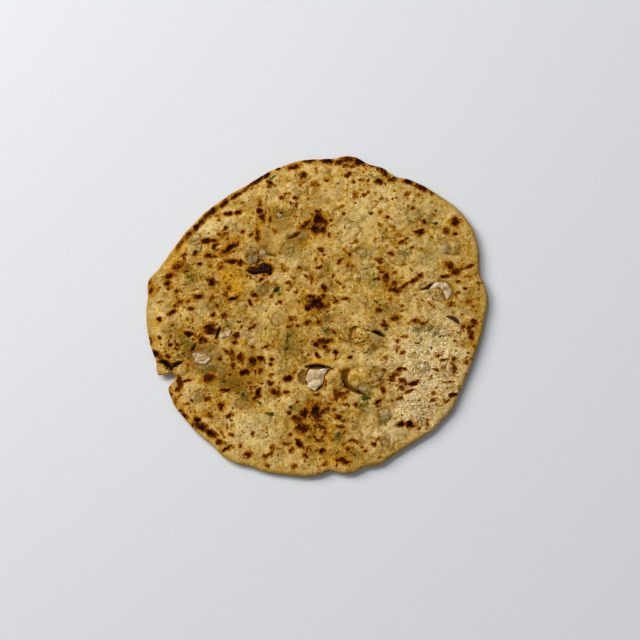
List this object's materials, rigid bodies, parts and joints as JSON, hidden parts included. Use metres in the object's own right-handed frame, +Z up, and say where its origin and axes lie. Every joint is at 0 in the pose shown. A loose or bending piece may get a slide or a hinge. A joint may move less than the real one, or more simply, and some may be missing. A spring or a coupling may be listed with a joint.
{
  "type": "stuffed flatbread",
  "caption": "Round griddled paratha flatbread stuffed with onion and green herbs, browned in spots, with small tears in its top skin and a notch at its edge.",
  "frame": {"origin": "middle of the bread's box in plan, on the plane of its underside", "axes": "+Z up out of the bread's top, +X along its longest width, +Y away from the front; the edge notch is towards -X"},
  "size_m": [0.1852, 0.1766, 0.0058],
  "materials": {
    "dough": "matt, lightly oiled",
    "filling": "moist",
    "onion": "moist"
  },
  "bodies": {
    "root": {"dough": "dough", "filling": "filling", "onion_front": "onion", "onion_left": "onion", "onion_chip": "onion", "onion_back": "onion", "onion_far": "onion", "onion_ring": "onion"}
  },
  "joints": []
}
